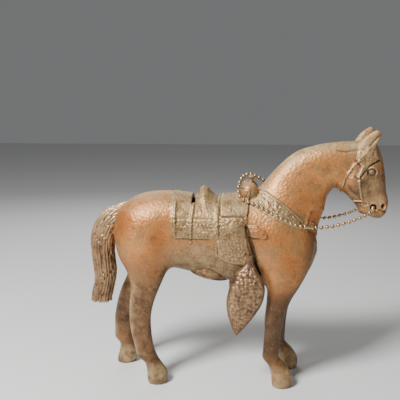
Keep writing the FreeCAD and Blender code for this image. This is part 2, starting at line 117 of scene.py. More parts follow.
def add_mesh(name, points, faces, material, smooth=True):
    """A mesh object from points in millimetres."""
    mesh = bpy.data.meshes.new(name)
    points = np.asarray(points, np.float32) * MM
    faces = np.asarray(faces, np.int32)
    width = faces.shape[1]
    mesh.vertices.add(len(points))
    mesh.vertices.foreach_set("co", points.ravel())
    mesh.loops.add(faces.size)
    mesh.loops.foreach_set("vertex_index", faces.ravel())
    mesh.polygons.add(len(faces))
    mesh.polygons.foreach_set("loop_start", np.arange(0, faces.size, width, dtype=np.int32))
    mesh.update(calc_edges=True)
    mesh.validate()
    if smooth:
        mesh.polygons.foreach_set("use_smooth", np.ones(len(mesh.polygons), bool))
    mesh.materials.append(material)
    item = bpy.data.objects.new(name, mesh)
    bpy.context.scene.collection.objects.link(item)
    return item


def set_mask(item, name, values):
    """Stores one number per vertex, for the material."""
    layer = item.data.attributes.new(name, "FLOAT", "POINT")
    layer.data.foreach_set("value", np.asarray(values, np.float32))


def grid_faces(rows, columns, closed=True):
    """Quads of a rows x columns grid of points, joined round each row if closed."""
    i, j = np.meshgrid(np.arange(rows - 1), np.arange(columns if closed else columns - 1), indexing="ij")
    i, j = i.ravel(), j.ravel()
    k = (j + 1) % columns
    row, after = i * columns, (i + 1) * columns
    return np.stack([row + j, row + k, after + k, after + j], axis=1)


def smoothed(rows, per_span=10):
    """More stations between the given ones, on a smooth curve through them."""
    rows = np.asarray(rows, float)
    padded = np.vstack([2 * rows[0] - rows[1], rows, 2 * rows[-1] - rows[-2]])
    out = []
    for a, b, c, d in zip(padded, padded[1:], padded[2:], padded[3:]):
        for t in np.arange(per_span) / per_span:
            bend = (2 * a - 5 * b + 4 * c - d) * t * t + (3 * b - 3 * c + d - a) * t**3
            out.append(0.5 * (2 * b + (c - a) * t + bend))
    out.append(rows[-1])
    return np.array(out)


def smoothstep(low, high, value):
    t = np.clip((value - low) / (high - low), 0, 1)
    return t * t * (3 - 2 * t)


# ---------------------------------------------------------------- the horse's stations, mm

# Trunk: x, lowest z, highest z, half width.
TRUNK = [
    (-99.0, 113.0, 133.0, 6.0),
    (-94.0, 103.0, 142.5, 15.0),
    (-84.0, 95.0, 149.8, 21.5),
    (-70.0, 91.5, 154.8, 24.5),
    (-54.0, 93.0, 156.2, 24.5),
    (-36.0, 90.0, 154.2, 24.0),
    (-16.0, 86.0, 152.5, 25.0),
    (4.0, 81.5, 152.5, 25.5),
    (22.0, 80.0, 150.0, 24.0),
    (38.0, 82.0, 146.0, 23.5),
    (52.0, 86.5, 138.0, 20.5),
    (61.0, 95.0, 129.0, 14.5),
    (66.0, 105.0, 119.0, 6.5),
]
# Neck and head: upper x, z, lower x, z, half width.
NECK = [
    (8.0, 149.0, 62.0, 102.0, 19.0),
    (21.0, 161.5, 67.5, 130.0, 15.5),
    (33.0, 175.5, 71.5, 143.0, 12.5),
    (48.0, 188.5, 74.0, 154.0, 11.0),
    (66.0, 194.6, 80.0, 161.5, 10.5),
    (84.0, 197.0, 84.0, 160.0, 10.2),
    (108.0, 198.0, 92.0, 171.0, 8.0),
]
HEAD = [
    (110.0, 197.5, 81.5, 164.5, 9.6),
    (115.2, 185.0, 83.0, 159.5, 11.6),
    (118.2, 170.0, 91.0, 152.5, 10.4),
    (119.4, 159.0, 97.0, 145.5, 8.4),
    (121.5, 149.5, 98.8, 141.0, 8.0),
    (120.0, 141.0, 105.5, 138.6, 7.2),
    (116.5, 137.0, 110.5, 136.8, 3.5),
]
# Legs, on the right side: z, back x, front x, distance from the centre plane, half width.
FORELEG = [
    (0.0, 32.2, 46.6, 18.6, 7.7),
    (4.0, 31.6, 48.2, 18.6, 7.9),
    (10.0, 31.2, 47.6, 18.6, 7.4),
    (17.5, 28.6, 43.0, 18.6, 6.2),
    (23.5, 24.2, 37.6, 18.6, 6.1),
    (30.0, 24.3, 37.3, 18.6, 6.1),
    (44.0, 25.2, 38.4, 18.6, 6.4),
    (58.0, 25.4, 41.0, 18.6, 6.9),
    (72.0, 26.8, 45.5, 18.4, 7.8),
    (84.0, 27.0, 52.0, 17.5, 9.0),
    (94.0, 22.5, 57.0, 15.5, 10.8),
    (104.0, 18.5, 60.0, 13.0, 12.0),
    (116.0, 17.0, 58.0, 11.0, 11.5),
    (126.0, 19.0, 54.0, 9.5, 8.5),
    (136.0, 23.0, 48.0, 8.0, 4.0),
]
HINDLEG = [
    (0.0, -69.4, -54.4, 19.6, 7.8),
    (3.5, -70.2, -53.2, 19.6, 8.1),
    (9.0, -70.4, -53.8, 19.6, 7.6),
    (16.5, -72.0, -58.6, 19.6, 6.2),
    (22.5, -78.2, -62.2, 19.6, 6.4),
    (30.0, -80.2, -64.8, 19.6, 6.2),
    (42.0, -83.0, -66.5, 19.6, 6.3),
    (55.0, -84.3, -66.8, 19.6, 6.7),
    (68.0, -84.0, -64.2, 19.2, 7.4),
    (82.0, -82.8, -58.8, 18.0, 8.8),
    (94.0, -86.5, -53.5, 16.0, 10.4),
    (104.0, -91.5, -50.0, 14.0, 11.5),
    (116.0, -91.0, -46.0, 12.0, 12.0),
    (126.0, -87.0, -50.0, 10.0, 9.5),
    (136.0, -80.0, -56.0, 8.0, 5.0),
]
# How far the left legs are set forward of the right ones: z, shift.
FORE_STAGGER = [(0.0, 7.0), (60.0, 6.0), (90.0, 2.0), (104.0, 0.0)]
HIND_STAGGER = [(0.0, -34.5), (24.0, -27.0), (42.0, -22.5), (68.0, -15.0), (94.0, -6.0), (104.0, 0.0)]


# ---------------------------------------------------------------- fields: negative inside, mm


def blend(a, b, k):
    """The union of two fields with a fillet of about k."""
    h = np.clip(0.5 + 0.5 * (b - a) / k, 0, 1)
    return b + (a - b) * h - k * h * (1 - h)


def oval(u, v, small, fullness=2.2):
    """Distance-like field of a superellipse, with u and v scaled to 1 at its edge."""
    return ((np.abs(u) ** fullness + np.abs(v) ** fullness) ** (1 / fullness) - 1) * small


def trunk_field(x, y, z, rows=smoothed(TRUNK)):
    low, high, half = (np.interp(x, rows[:, 0], rows[:, i]) for i in (1, 2, 3))
    reach = (high - low) / 2
    field = oval((z - (low + high) / 2) / reach, y / half, np.minimum(reach, half))
    return np.maximum(field, np.maximum(rows[0, 0] - x, x - rows[-1, 0]))


def leg_field(x, y, z, rows, side, stagger):
    rows = smoothed(rows)
    back, front, out, half = (np.interp(z, rows[:, 0], rows[:, i]) for i in (1, 2, 3, 4))
    if side == LEFT:
        steps = np.array(stagger)
        shift = np.interp(z, steps[:, 0], steps[:, 1])
        back, front = back + shift, front + shift
    reach = (front - back) / 2
    field = oval((x - (back + front) / 2) / reach, (y - out * side) / half, np.minimum(reach, half))
    return np.maximum(field, np.maximum(-z, z - rows[-1, 0]))


def strip_field(x, y, z, rows):
    """Ovals across the lines from an upper to a lower outline, which fan along the neck or head."""
    rows = smoothed(rows, 6)
    top, low = rows[:, 0:2], rows[:, 2:4]
    across = top - low
    length = np.hypot(across[:, 0], across[:, 1])
    normal = np.stack([across[:, 1], -across[:, 0]], axis=1) / length[:, None]
    station = np.zeros(np.broadcast(x, z).shape)
    before = (x - low[0, 0]) * normal[0, 0] + (z - low[0, 1]) * normal[0, 1]
    first = before
    for i in range(1, len(rows)):
        after = (x - low[i, 0]) * normal[i, 0] + (z - low[i, 1]) * normal[i, 1]
        part = np.clip(before / np.where(np.abs(before - after) < 1e-6, 1e-6, before - after), 0, 1)
        station = np.where(before > 0, i - 1 + part, station)
        before = after
    number = np.arange(len(rows))
    tx, tz, lx, lz, half = (np.interp(station, number, rows[:, i]) for i in range(5))
    ux, uz = tx - lx, tz - lz
    reach = np.hypot(ux, uz) / 2
    s = ((x - (tx + lx) / 2) * ux + (z - (tz + lz) / 2) * uz) / (2 * reach * reach)
    field = oval(s, y / half, np.minimum(reach, half))
    return np.maximum(field, np.maximum(-first, before))


def ball_field(x, y, z, centre, radii):
    """An ellipsoid."""
    cx, cy, cz = centre
    rx, ry, rz = radii
    return (np.sqrt(((x - cx) / rx) ** 2 + ((y - cy) / ry) ** 2 + ((z - cz) / rz) ** 2) - 1) * min(radii)


def rod_field(x, y, z, start, end, r_start, r_end):
    """A round rod that tapers from start to end."""
    a, b = np.array(start, float), np.array(end, float)
    d = b - a
    t = np.clip(((x - a[0]) * d[0] + (y - a[1]) * d[1] + (z - a[2]) * d[2]) / d.dot(d), 0, 1)
    gap = np.sqrt((x - a[0] - d[0] * t) ** 2 + (y - a[1] - d[1] * t) ** 2 + (z - a[2] - d[2] * t) ** 2)
    return gap - (r_start + (r_end - r_start) * t)


# ---------------------------------------------------------------- relief on the sides: x, z in mm


def line_distance(x, z, points):
    """Distance in the side view to a line through points."""
    best = np.full(np.broadcast(x, z).shape, 1e9)
    for (ax, az), (bx, bz) in zip(points, points[1:]):
        dx, dz = bx - ax, bz - az
        t = np.clip(((x - ax) * dx + (z - az) * dz) / (dx * dx + dz * dz), 0, 1)
        best = np.minimum(best, np.hypot(x - ax - dx * t, z - az - dz * t))
    return best


def inside(x, z, points):
    """Signed distance in the side view to a closed outline, positive inside."""
    ring = [*points, points[0]]
    crossings = np.zeros(np.broadcast(x, z).shape, bool)
    for (ax, az), (bx, bz) in zip(ring, ring[1:]):
        if az == bz:
            continue
        hit = ((az > z) != (bz > z)) & (x < (bx - ax) * (z - az) / (bz - az) + ax)
        crossings = crossings ^ hit
    return np.where(crossings, 1, -1) * line_distance(x, z, ring)


# Leatherwork outlines on the side.
SKIRT = [(-50, 160), (-49, 126), (-46.5, 122), (-40, 121.4), (-18, 121.8), (-12, 122), (-12, 160)]
FENDER = [(-13, 160), (-12.6, 120), (-11.5, 107), (-6, 103), (6, 101), (12, 100), (14.5, 104), (10.5, 118),
          (9.5, 131), (11, 145), (12, 160)]
JOCKEY = [(-13, 160), (-10, 139.5), (0, 139), (9.5, 139.5), (13, 146), (14, 160)]
RIGGING = [(10, 132.6), (10.5, 124), (24, 122.6), (27, 124), (24, 128.5), (18, 132.4)]
COLLAR = [(12, 160), (25.4, 158), (36.4, 150.8), (45.4, 143.6), (55.6, 134.6), (60, 130.5), (57, 128),
          (49, 131),
          (31.9, 137.7), (13.8, 147.5), (8, 151)]
CANTLE = [(-29.9, 146), (-29.3, 155), (-27.9, 158.8), (-25.6, 160.7), (-22.6, 159.6), (-15.4, 152),
          (-14, 146)]
SHOULDER_CREASE = [(9.8, 131), (12.5, 123), (14.8, 115.7), (17.2, 100.3), (20.6, 93.5)]
CHEST_STRAP = [(58, 133), (62.5, 131), (66, 126), (67.5, 118)]
NECK_STRAP = [(56.6, 134), (58.6, 141), (60.2, 144.6), (68, 143.8), (73, 143)]
THROAT_LATCH = [(97.4, 183.5), (92.6, 179.8), (88.5, 173.7), (85.7, 168.2), (83.9, 162)]
CHEEK_PIECE = [(96.3, 170.6), (96.8, 163.6), (99.2, 153.5), (100.6, 151)]
CURB_STRAP = [(93.4, 150.4), (99.4, 150.6)]
HEADSTALL = [(97, 194), (109, 193.5), (111.5, 184), (104, 179.7), (95.6, 169.2), (94.4, 170.4), (98, 178.5),
             (94.5, 183)]
JOCKEY_EDGE = [(-9.2, 139.2), (8.6, 139.4)]
SKIRT_EDGE = [(-46, 121.5), (-19, 121.4)]
TAB_EDGE = [(9.9, 132.2), (10.0, 123.2), (18, 122.2), (24, 121.9), (27.2, 123.6)]
MANE_EDGE = [(79.5, 190.2), (86, 189.4), (92, 190), (97.5, 191.6)]
SKIRT_STRAPS = [
    [(-46.6, 150), (-46.6, 124)],
    [(-32, 150), (-33.6, 135), (-34, 118)],
    [(-13.6, 148), (-13.2, 108)],
]
MOUTH = [(109, 146), (113, 144.2), (118, 142.6), (121, 142.4)]
JAW_LINE = [(92, 179), (87, 172), (86.5, 165), (91, 158.5), (97, 154)]

# Muscles: x, z, radius along x, along z, height.
MUSCLES = [
    (40, 112, 20, 25, 2.6),
    (30, 132, 16, 14, 1.0),
    (-76, 122, 18, 26, 2.2),
    (-54, 112, 10, 16, -1.2),
    (-66, 140, 18, 10, 0.6),
    (52, 168, 12, 12, -0.8),
    (92, 167, 8.5, 9, 1.6),
    (106, 160, 6, 10, -0.9),
    (113, 168, 4, 10, 0.5),
    (38, 90, 9, 12, 0.8),
]


def scatter(x, z, cell, seed):
    """Distance to the nearest of a set of scattered points, about one to each square cell."""
    column, row = np.floor(x / cell), np.floor(z / cell)
    best = np.full(np.broadcast(x, z).shape, 1e9)
    for i in (-1, 0, 1):
        for j in (-1, 0, 1):
            a, b = column + i, row + j
            u = np.sin(a * 12.9898 + b * 78.233 + seed) * 43758.5453
            v = np.sin(a * 39.346 + b * 11.135 + seed) * 24634.6345
            px = (a + 0.5 + 0.8 * (u - np.floor(u) - 0.5)) * cell
            pz = (b + 0.5 + 0.8 * (v - np.floor(v) - 0.5)) * cell
            best = np.minimum(best, np.hypot(x - px, z - pz))
    return best


def beading(x, z, cell, seed=0.0):
    """Small round knobs, 0 between them and 1 on top."""
    return np.exp(-((scatter(x, z, cell, seed) / (0.36 * cell)) ** 2))


def edge(distance, width):
    return smoothstep(-width / 2, width / 2, distance)


def band(distance, half, soft=0.6):
    return 1 - smoothstep(half - soft / 2, half + soft / 2, distance)


def side_relief(x, z):
    """Height in mm of everything modelled on the horse's sides."""
    skirt, fender, jockey = (inside(x, z, shape) for shape in (SKIRT, FENDER, JOCKEY))
    rigging, collar = (inside(x, z, shape) for shape in (RIGGING, COLLAR))
    h = 0.7 * edge(skirt, 0.9)
    h = np.maximum(h, 1.0 * edge(fender, 0.9) + 0.7 * edge(jockey, 0.8))
    h = np.maximum(h, 1.0 * edge(rigging, 0.8))
    h = np.maximum(h, 0.8 * edge(collar, 0.9))
    for shape in (fender, rigging, collar):
        h = h - 0.3 * band(np.abs(shape - 1.7), 0.35)
    for outline, depth in ((SKIRT, 1.0), (FENDER, 0.8), (RIGGING, 1.2), (COLLAR, 0.8)):
        h = h - depth * np.exp(-(((inside(x, z, outline) + 0.7) / 0.7) ** 2))
    on_skirt = (skirt > 1.2) & (fender < -0.5)
    tooled = on_skirt & (z < 137)
    h = h + 0.75 * (beading(x, z, 2.1) - 0.3) * tooled
    h = h - 0.35 * band(np.abs(z - 137.4), 0.5) * on_skirt
    for strap in SKIRT_STRAPS:
        h = h + 0.9 * band(line_distance(x, z, strap), 0.8) * (fender < 0.5)
    flower = smoothstep(2.0, 2.6, fender) * (1 - smoothstep(123, 126, z))
    h = h + 1.0 * (beading(x, z, 2.6, 3.0) - 0.35) * flower
    h = h + 0.5 * (beading(x, z, 1.9, 5.0) - 0.3) * (fender > 2.0) * (z >= 126) * (jockey < 0)
    h = h + 0.75 * (beading(x, z, 2.2, 7.0) - 0.3) * smoothstep(1.6, 2.1, collar)
    h = h + 0.5 * (beading(x, z, 2.0, 9.0) - 0.3) * (rigging > 1.4)
    for line, half, height in (
        (CHEST_STRAP, 2.2, 0.7),
        (NECK_STRAP, 1.3, 0.5),
        (THROAT_LATCH, 0.7, 0.9),
        (CHEEK_PIECE, 0.8, 0.9),
        (CURB_STRAP, 0.6, 0.8),
    ):
        distance = line_distance(x, z, line)
        h = np.maximum(h, height * band(distance, half))
        h = h - 0.6 * np.exp(-(((distance - half - 0.7) / 0.5) ** 2))
    headstall = inside(x, z, HEADSTALL)
    h = h + 0.9 * edge(headstall, 0.8) + 0.6 * (beading(x, z, 2.2, 2.0) - 0.3) * (headstall > 1.0)
    h = h - 1.0 * np.exp(-(((headstall + 0.8) / 0.8) ** 2)) * (z < 184)
    h = h - 0.9 * band(line_distance(x, z, JOCKEY_EDGE), 0.4)
    h = h + 0.5 * beading(x, z, 2.3, 4.0) * (line_distance(x, z, CHEST_STRAP) < 2.4)
    for cx, cz, rx, rz, height in MUSCLES:
        h = h + height * np.exp(-(((x - cx) / rx) ** 2) - ((z - cz) / rz) ** 2)
    crease = line_distance(x, z, SHOULDER_CREASE)
    h = h - 1.5 * np.exp(-((crease / 1.3) ** 2)) - 1.1 * np.exp(-((crease / 4.0) ** 2))
    h = h - 0.9 * band(line_distance(x, z, MOUTH), 0.5, 0.8)
    h = h - 0.8 * band(line_distance(x, z, MANE_EDGE), 0.5, 0.9)
    h = h - 0.6 * np.exp(-((line_distance(x, z, JAW_LINE) / 1.6) ** 2))
    buckle = np.hypot(x - 97.2, z - 183.0)
    h = h + 0.8 * np.exp(-(((buckle - 2.0) / 0.7) ** 2))
    ring = np.hypot((x - 102.4) / 1.2, z - 148.6)
    h = h + 0.9 * np.exp(-(((ring - 2.0) / 0.6) ** 2))
    eye = np.hypot((x - 106) / 1.2, z - 174)
    h = h + 1.3 * np.exp(-((eye / 1.7) ** 2)) - 1.0 * np.exp(-(((eye - 2.5) / 0.6) ** 2))
    h = h + 0.9 * np.exp(-(((eye - 3.6) / 0.7) ** 2)) * smoothstep(171, 175, z)
    nostril = np.hypot(x - 116.4, (z - 146.9) / 1.3)
    h = h - 2.0 * np.exp(-((nostril / 1.2) ** 2)) + 0.8 * np.exp(-(((nostril - 2.3) / 0.7) ** 2))
    lips = np.hypot(x - 109, z - 146)
    return h + 0.7 * np.exp(-(((lips - 3.6) / 0.8) ** 2))


# ---------------------------------------------------------------- the casting


CAVITY_WALL, THIN_WALL = 2.4, 1.5
# The box that each half is meshed in, in mm, a little past the seam.
HALF_BOX = {
    RIGHT: ((-102.0, -31.0, -2.0), (124.5, 1.5, 210.0)),
    LEFT: ((-110.0, -1.5, -2.0), (124.5, 31.0, 210.0)),
}
SLOT_X, SLOT_HALF_WIDTH, SLOT_HALF_LENGTH, SLOT_FLOOR = -32.5, 1.4, 15.5, 138
MOUTH_HOLE_X, MOUTH_HOLE_Z, MOUTH_HOLE_RADIUS = 109, 146, 2.5
# The ring in the belly: radii of its hole, of its bore, and of the outside, and half a notch's width.
RING_HOLE, RING_BORE, RING_OUTSIDE, NOTCH_HALF = 13.2, 15.8, 17.5, 3.2
RING_DEPTH, LEDGE_DEPTH = 7.2, 5
TRAP_HOLE, TRAP_HOLE_DEPTH = 17.1, 12  # the plain hole in the casting that the ring fills


def casting_field(x, y, z, side):
    """One half casting of the horse, before it is cut at the centre plane."""
    trunk = trunk_field(x, y, z)
    neck = strip_field(x, y, z, NECK)
    core = blend(trunk, neck, 7)
    body = blend(core, strip_field(x, y, z, HEAD), 4)
    body = blend(body, leg_field(x, y, z, FORELEG, side, FORE_STAGGER), 6)
    body = blend(body, leg_field(x, y, z, HINDLEG, side, HIND_STAGGER), 7)
    far = np.abs(y)
    faces_out = smoothstep(3, 9, far) * (1 - smoothstep(60, 66, 130 - z))
    faces_out = np.maximum(faces_out, smoothstep(2, 5, far) * (z > 132))
    body = body - side_relief(x, z) * faces_out
    swell = ball_field(x, y, z, (11.6, 8.0 * side, 158.3), (7, 7, 7))
    bridge = rod_field(x, y, z, (11.4, -8, 157.5), (11.4, 8, 157.5), 6.2, 6.2)
    horn = rod_field(x, y, z, (12.2, 0, 160), (13.4, 0, 168.4), 2.2, 1.8)
    cap = ball_field(x, y, z, (13.4, 0, 168.6), (3.2, 3.0, 1.6))
    fork = blend(blend(swell, bridge, 2), blend(horn, cap, 1), 2)
    body = blend(body, fork, 1.6)
    body = blend(body, cantle_field(x, y, z), 2.5)
    body = blend(body, ear_field(x, y, z, side), 1.2)
    wall = CAVITY_WALL + 3.2 * np.exp(-((line_distance(x, z, SHOULDER_CREASE) / 5) ** 2))
    hollow = np.maximum(np.maximum(core + wall, body + THIN_WALL), x - 66)
    return np.maximum(body, -hollow)


def cantle_field(x, y, z):
    """The raised back of the seat: a rounded wedge that leans back and falls towards both sides."""
    raised = z + 0.052 * y * y
    ahead = x - 0.010 * y * y
    return np.maximum(0.8 - 0.85 * inside(ahead, raised, CANTLE), np.abs(y) - 17) - 1.2


def ear_field(x, y, z, side):
    """A pricked ear, laid a little back: a broad leaf with a hollow along its front."""
    if side == RIGHT:
        foot, tip = np.array((101.0, -5.4, 193.0)), np.array((111.4, -6.6, 205.3))
    else:
        foot, tip = np.array((99.0, 5.0, 194.5)), np.array((108.3, 5.8, 207.6))
    along = tip - foot
    length = np.linalg.norm(along)
    along = along / length
    across = np.array((along[2], 0, -along[0]))
    px, py, pz = x - foot[0], y - foot[1], z - foot[2]
    t = (px * along[0] + py * along[1] + pz * along[2]) / length
    u = px * across[0] + pz * across[2]
    v = py - along[1] * t * length
    wide = 5.4 * np.clip((1.03 - t) / 0.6, 0.01, 1) ** 0.42 * (0.5 + 0.5 * smoothstep(-0.6, 0.2, t))
    thick = 2.7 - 1.2 * np.clip(t, 0, 1)
    leaf = oval(u / wide, v / thick, np.minimum(thick, wide), 2)
    leaf = np.maximum(leaf, np.maximum(-t - 0.3, t - 1) * length)
    dish = oval((u - 1.9) / 0.85, (v - side * thick) / (thick * 0.7), 0.7, 2)
    dish = np.maximum(dish, np.maximum(0.02 - t, t - 0.9) * length)
    return np.maximum(leaf, -dish)


def trap_axes():
    """The trap's centre, outward direction and two directions across it, in mm."""
    joint = next(j for j in frame["joints"] if j["name"] == "lock_turn")
    centre = np.array(joint["pos_m"]) / MM
    out = np.array(joint["axis"], float)
    out /= np.linalg.norm(out)
    ahead = np.cross(out, (0, 1, 0))
    return centre, out, ahead, np.array((0.0, 1.0, 0.0))


def cut_openings(field, x, y, z):
    """The coin slot, the round hole of the trap and the hole through the mouth."""
    centre, out, _, _ = trap_axes()
    depth = (x - centre[0]) * out[0] + (y - centre[1]) * out[1] + (z - centre[2]) * out[2]
    square = (x - centre[0]) ** 2 + (y - centre[1]) ** 2 + (z - centre[2]) ** 2
    radius = np.sqrt(np.maximum(square - depth**2, 0))
    hole = np.maximum(radius - TRAP_HOLE, -depth - TRAP_HOLE_DEPTH)
    field = np.maximum(field, -hole)
    slot = np.maximum(np.abs(x - SLOT_X) - SLOT_HALF_WIDTH, np.abs(y) - SLOT_HALF_LENGTH)
    slot = np.maximum(slot, SLOT_FLOOR - z)
    field = np.maximum(field, -slot)
    mouth = np.hypot(x - MOUTH_HOLE_X, z - MOUTH_HOLE_Z) - MOUTH_HOLE_RADIUS
    return np.maximum(field, -mouth)


def half_field(x, y, z, side):
    return cut_openings(casting_field(x, y, z, side), x, y, z)


def surface_net(values, origin, step):
    """Points and quads of the zero surface of a grid of values, by surface nets."""
    solid = values < 0
    sizes = np.array(values.shape) - 1
    corner = [(i, j, k) for i in (0, 1) for j in (0, 1) for k in (0, 1)]
    total = np.zeros(tuple(sizes), np.int8)
    for i, j, k in corner:
        total += solid[i:i + sizes[0], j:j + sizes[1], k:k + sizes[2]]
    cells = np.argwhere((total > 0) & (total < 8))
    number = np.full(tuple(sizes), -1, np.int64)
    number[tuple(cells.T)] = np.arange(len(cells))
    sums, counts = np.zeros((len(cells), 3)), np.zeros(len(cells))
    for a in corner:
        for axis in range(3):
            if a[axis]:
                continue
            b = list(a)
            b[axis] = 1
            va = values[tuple((cells + a).T)]
            vb = values[tuple((cells + b).T)]
            cross = (va < 0) != (vb < 0)
            t = np.where(cross, va / np.where(cross, va - vb, 1), 0)
            spot = np.array(a, float) + np.zeros((len(cells), 3))
            spot[:, axis] = t
            sums += spot * cross[:, None]
            counts += cross
    points = origin + (cells + sums / counts[:, None]) * step
    quads = []
    for axis in range(3):
        u, v = (axis + 1) % 3, (axis + 2) % 3
        low, high = [slice(None)] * 3, [slice(None)] * 3
        low[axis], high[axis] = slice(0, -1), slice(1, None)
        change = solid[tuple(low)] != solid[tuple(high)]
        spots = np.argwhere(change)
        keep = (spots[:, u] > 0) & (spots[:, v] > 0) & (spots[:, u] < sizes[u]) & (spots[:, v] < sizes[v])
        spots = spots[keep]
        ring = []
        for du, dv in ((1, 1), (0, 1), (0, 0), (1, 0)):
            cell = spots.copy()
            cell[:, u] -= du
            cell[:, v] -= dv
            ring.append(number[tuple(cell.T)])
        quad = np.stack(ring, axis=1)
        inward = ~solid[tuple(spots.T)]
        quad[inward] = quad[inward][:, ::-1]
        quads.append(quad)
    return points, np.vstack(quads)


def gradient(function, points, step=0.25):
    out = np.zeros_like(points)
    for axis in range(3):
        shift = np.zeros(3)
        shift[axis] = step
        out[:, axis] = function(points + shift) - function(points - shift)
    return out / (2 * step)


def make_half(name, side, material, step):
    """Meshes one half casting, pulls its points onto the exact surface, and stores its masks."""
    low, high = (np.array(corner) for corner in HALF_BOX[side])
    count = np.ceil((high - low) / step).astype(int) + 1
    axes = [low[i] + np.arange(count[i]) * step for i in range(3)]
    x, y, z = axes[0][:, None, None], axes[1][None, :, None], axes[2][None, None, :]
    values = half_field(x, y, z, side)
    values = np.maximum(values, -y * side)
    points, quads = surface_net(values, low, step)

    def at(p):
        return np.maximum(half_field(p[:, 0], p[:, 1], p[:, 2], side), -p[:, 1] * side)

    for _ in range(2):
        value, slope = at(points), gradient(at, points)
        square = np.maximum((slope**2).sum(axis=1), 0.2)
        move = -slope * (value / square)[:, None]
        reach = np.linalg.norm(move, axis=1)
        move *= np.minimum(1, 0.5 * step / np.maximum(reach, 1e-9))[:, None]
        points = points + move
    points[:, 2] = np.maximum(points[:, 2], 0)
    item = add_mesh(name, points, quads, material)
    paint_horse(item, points, gradient(at, points))
    return item


def paint_horse(item, points, slope):
    """Masks for the finish: dust on upward faces and hooves with painted highlights on the neck top, nose
    and hind legs' lit faces, brown below with painted shade on faces turned from the key light, leather,
    and painted shade in the creases.
    """
    x, y, z = points.T
    normal = slope / np.maximum(np.linalg.norm(slope, axis=1), 1e-6)[:, None]
    up = smoothstep(0.25, 0.95, normal[:, 2])
    leather = np.zeros(len(points))
    for shape in (SKIRT, FENDER, COLLAR):
        leather = np.maximum(leather, smoothstep(-0.8, 0.8, inside(x, z, shape)))
    leather *= np.maximum(smoothstep(6, 12, np.abs(y)), (z > 146)) * (z > 98)
    leather = np.maximum(leather, smoothstep(-52, -49, x) * smoothstep(17, 14, x) * smoothstep(145, 149, z))
    for strap in (THROAT_LATCH, CHEEK_PIECE, CURB_STRAP, CHEST_STRAP):
        leather = np.maximum(leather, 0.8 * band(line_distance(x, z, strap), 0.7) * (np.abs(y) > 2))
    leather = np.maximum(leather, 0.8 * smoothstep(-0.5, 0.5, inside(x, z, HEADSTALL)))
    leather = leather * (0.25 + 0.75 * smoothstep(6.0, 8.5, np.hypot(x - 11.6, z - 158.5)))
    leather = leather * (1 - 0.6 * smoothstep(152.5, 156, z) * (x < -14) * (x > -31))
    head = smoothstep(84, 92, x) * (z > 132)
    # painted highlight: a pale strip along the top of the neck
    upper = np.exp(-((line_distance(x, z, [(r[0], r[1]) for r in NECK]) / 7.0) ** 2))
    below = 0.85 * smoothstep(100, 62, z) + 0.45 * smoothstep(112, 92, z) * smoothstep(20, 0, x)
    # painted shade on the chest
    painted_chest_shade = np.exp(-(((x - 66) / 14) ** 2) - ((z - 104) / 22) ** 2)
    cheek = np.exp(-(((x - 106) / 10) ** 2) - ((z - 163) / 11) ** 2)
    barrel = np.exp(-(((x + 18) / 40) ** 2) - ((z - 104) / 17) ** 2)
    crease = line_distance(x, z, SHOULDER_CREASE)
    brown = below + 0.6 * painted_chest_shade + 1.2 * cheek + 0.25 * head + 0.4 * barrel
    # painted shade: browner in the valley along the shoulder crease
    brown = brown + 0.7 * np.exp(-((crease / 4) ** 2))
    leather = np.maximum(leather, 0.85 * smoothstep(0.15, 0.7, barrel) * (np.abs(y) > 5))
    # painted shade: browner on faces turned down and on faces turned forward, away from the key light
    brown = brown + 0.6 * smoothstep(-0.1, -0.7, normal[:, 2])
    brown = brown + 0.4 * smoothstep(0.4, 0.9, normal[:, 0]) * (z < 130)
    # painted shade on the foreleg below the stirrup cover
    painted_foreleg_shade = smoothstep(12, 22, x) * smoothstep(88, 72, z) * smoothstep(18, 30, z)
    hoof = smoothstep(19, 12, z)
    # painted highlight: the hind legs' rear faces, turned to the key light, are painted paler
    painted_hind_highlight = smoothstep(0.2, 0.8, -normal[:, 0]) * (x < -60)
    painted_hind_highlight = painted_hind_highlight * smoothstep(100, 85, z) * smoothstep(15, 25, z)
    relief = side_relief(x, z) * (z > 66)
    around = 0.25 * (side_relief(x + 0.9, z) + side_relief(x - 0.9, z)
                     + side_relief(x, z + 0.9) + side_relief(x, z - 0.9)) * (z > 66)
    # dark: painted shade in the relief's recesses, on the foreleg, along the shoulder crease, under the
    # lower edges of the jockey, skirt and tab, and in the eye socket
    dark = smoothstep(0.06, 0.5, around - relief)
    dark = np.maximum(dark, 0.6 * painted_foreleg_shade)
    dark = np.maximum(dark, 0.9 * smoothstep(2.0, 0.3, crease) * (np.abs(y) > 12))
    for line in (JOCKEY_EDGE, SKIRT_EDGE, TAB_EDGE):
        dark = np.maximum(dark, 0.85 * band(line_distance(x, z, line), 0.35, 0.7) * (np.abs(y) > 8))
    socket = np.exp(-(((x - 102.5) / 3.5) ** 2) - ((z - 174.5) / 2.5) ** 2)
    dark = np.maximum(dark, 0.8 * socket)
    wear_and_highlight = smoothstep(0.05, 0.4, relief - around) * smoothstep(0.5, -2.0, inside(x, z, RIGGING))
    # painted highlight on the nose: paler and less brown; the rest of this mask is wear on raised edges
    painted_nose_highlight = np.exp(-(((x - 115) / 4) ** 2) - ((z - 152) / 4) ** 2)
    set_mask(item, "leather", np.clip(leather, 0, 1))
    # dust on upward faces and at the hooves, plus the painted highlights on the neck top and on the hind
    # legs' lit rear faces
    dust_and_highlight = 0.6 * up + 0.5 * upper + 0.25 * head + 0.7 * painted_hind_highlight + 0.6 * hoof
    set_mask(item, "dust_and_highlight", np.clip(dust_and_highlight, 0, 1))
    set_mask(item, "brown", np.clip(brown, 0, 1) * (1 - 0.7 * painted_nose_highlight))
    set_mask(item, "dark", dark)
    set_mask(item, "wear_and_highlight", np.clip(wear_and_highlight + 0.8 * painted_nose_highlight, 0, 1))


# ---------------------------------------------------------------- tail and stirrup covers

